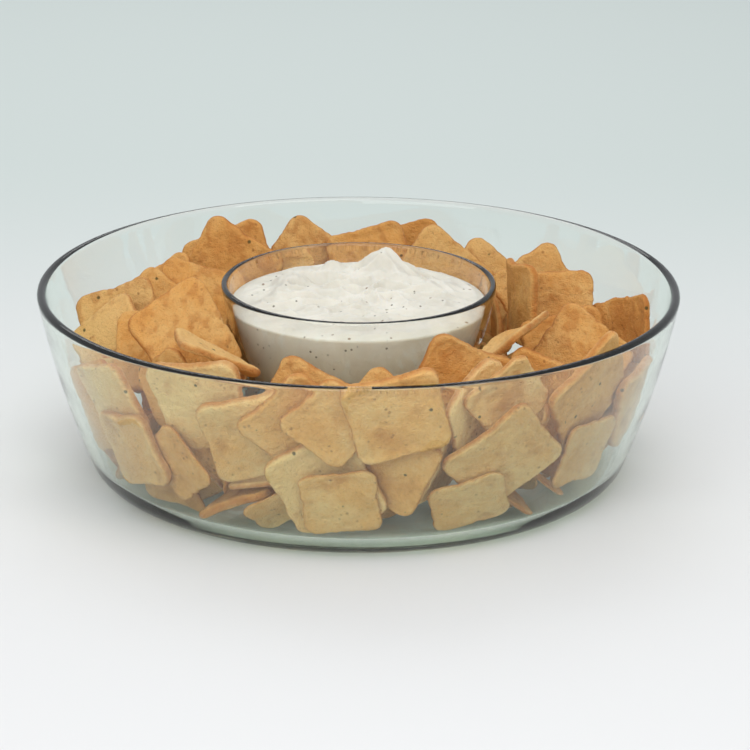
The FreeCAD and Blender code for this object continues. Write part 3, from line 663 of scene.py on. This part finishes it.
    # the outermost ring is shared by both faces
    outer = slice(count - turns, count)
    top_points[outer, 2] = (middle_height + wave)[outer]
    low_points = low_points[:count - turns]
    world = np.vstack([top_points, low_points]) @ basis + centre
    i = np.arange(rings - 1)[:, None] * turns + 1
    j = np.arange(turns)[None, :]
    k = (j + 1) % turns
    top_quads = np.stack([i + j, i + turns + j, i + turns + k, i + k], axis=-1).reshape(-1, 4)
    low_quads = top_quads.copy()
    inner = low_quads < count - turns
    low_quads = np.where(inner, low_quads + count, low_quads)[:, ::-1]
    j = np.arange(turns)
    k = (j + 1) % turns
    top_fan = np.stack([np.zeros(turns, int), 1 + j, 1 + k], axis=-1)
    low_fan = (top_fan + count)[:, ::-1]
    rim = np.exp(-inset / (2.1 * MM))
    rim = np.concatenate([rim, rim[:count - turns]])
    relief = np.concatenate([relief_top, relief_low[:count - turns]])
    tone = np.full(len(world), random.random() * 2 - 1)
    return (world, np.vstack([top_quads, low_quads]), np.vstack([top_fan, low_fan]), rim,
            relief, tone)


def make_chips():
    random = np.random.RandomState(5)
    golden = chip_material("chip_crust_golden", srgb(237, 190, 120), srgb(230, 168, 92),
                           srgb(212, 142, 68), srgb(184, 108, 42))
    # a paler copy of the same crust for the chips seen through the glass front: painted
    # reflection haze and painted front light
    pale = chip_material("chip_crust_painted_front_haze", srgb(250, 214, 152), srgb(242, 188, 116),
                         srgb(222, 154, 78), srgb(194, 118, 50))
    seed = 0
    for node in sorted(NODES):
        if not node.startswith("chip") or node == "chip_bowl":
            continue
        parts = loose_parts(NODES[node].data)
        if len(parts) > MANY_CHIPS:
            rings, turns = CHIP_MESH_MANY
        elif len(parts) > 1:
            rings, turns = CHIP_MESH_GROUP
        else:
            rings, turns = CHIP_MESH_ALONE
        verts, quads, tris, rims, reliefs, tones = [], [], [], [], [], []
        start = 0
        for points, triangles in parts:
            seed += 1
            made = chip_patch(points, triangles, rings, turns, seed * 1.37, random)
            verts.append(made[0])
            quads.append(made[1] + start)
            tris.append(made[2] + start)
            rims.append(made[3])
            reliefs.append(made[4])
            tones.append(made[5])
            start += len(made[0])
        obj = mesh_object(node.replace("chip", "toasted", 1), np.vstack(verts),
                          [np.vstack(quads), np.vstack(tris)])
        float_attribute(obj, "rim", np.concatenate(rims))
        float_attribute(obj, "relief", np.concatenate(reliefs))
        float_attribute(obj, "tone", np.concatenate(tones))
        front = node.startswith("chip_front")
        # chips behind the front wall take the paler crust copy, with painted haze and light
        obj.data.materials.append(pale if front else golden)
        stand_for(obj, node)


# ---------------------------------------------------------------- stage, light and camera
def stage():
    size = 6.0
    mesh = bpy.data.meshes.new("floor")
    mesh.from_pydata([(-size, -size, 0), (size, -size, 0), (size, size, 0), (-size, size, 0)],
                     [], [(0, 1, 2, 3)])
    floor = link(bpy.data.objects.new("floor", mesh))
    floor.location.z = CAD_BOX[0][2] - 0.0002
    g = Graph("floor_paper")
    where = g.add("TexCoord").outputs["Object"]
    depth = g.add("SeparateXYZ", {"Vector": where}).outputs["Y"]
    colour = g.ramp(g.step(depth, -0.04, 0.50), [(0.0, srgb(233, 233, 233)),
                                                 (1.0, srgb(211, 219, 216))])
    g.surface(g.add("BsdfDiffuse", {"Color": colour}).outputs[0])
    mesh.materials.append(g.material)

    world = bpy.data.worlds.new("studio")
    bpy.context.scene.world = world
    world.use_nodes = True
    tree = world.node_tree
    tree.nodes.clear()
    out = tree.nodes.new("ShaderNodeOutputWorld")
    back = tree.nodes.new("ShaderNodeBackground")
    back.inputs["Color"].default_value = (0.94, 0.97, 1.0, 1.0)
    back.inputs["Strength"].default_value = 0.62
    tree.links.new(back.outputs[0], out.inputs[0])

    def lamp(name, place, aim, size, power, colour):
        data = bpy.data.lights.new(name, "AREA")
        data.shape = "RECTANGLE"
        data.size, data.size_y = size
        data.energy = power
        data.color = colour
        obj = link(bpy.data.objects.new(name, data))
        obj.location = place
        way = Vector(aim) - Vector(place)
        obj.rotation_euler = way.to_track_quat("-Z", "Y").to_euler()
        return obj

    lamp("key", (0.45, -0.70, 1.20), (0.0, 0.0, 0.05), (1.0, 1.0), 6.5, (1.0, 0.985, 0.96))
    lamp("fill", (-0.5, -1.15, 0.75), (0.0, 0.0, 0.04), (1.2, 0.9), 6.0, (0.99, 0.995, 1.0))
    lamp("back", (-0.2, 0.9, 1.0), (0.0, 0.0, 0.06), (1.2, 0.8), 3.8, (1.0, 1.0, 1.0))

    camera = bpy.data.cameras.new("camera")
    camera.sensor_width = 36.0
    camera.lens = CAMERA_LENS
    camera.clip_end = 50.0
    obj = link(bpy.data.objects.new("camera", camera))
    aim = Vector(CAMERA_AIM_MM) * MM
    tilt = math.radians(CAMERA_ELEVATION)
    obj.location = aim + Vector((0.0, -math.cos(tilt), math.sin(tilt))) * CAMERA_DISTANCE
    look = (aim - obj.location).to_track_quat("-Z", "Y").to_matrix()
    roll = Matrix.Rotation(math.radians(CAMERA_ROLL), 3, "Z")
    obj.rotation_euler = (look @ roll).to_euler()
    scene = bpy.context.scene
    scene.camera = obj
    scene.view_settings.view_transform = "Standard"


make_glass()
make_dip()
make_chips()
stage()
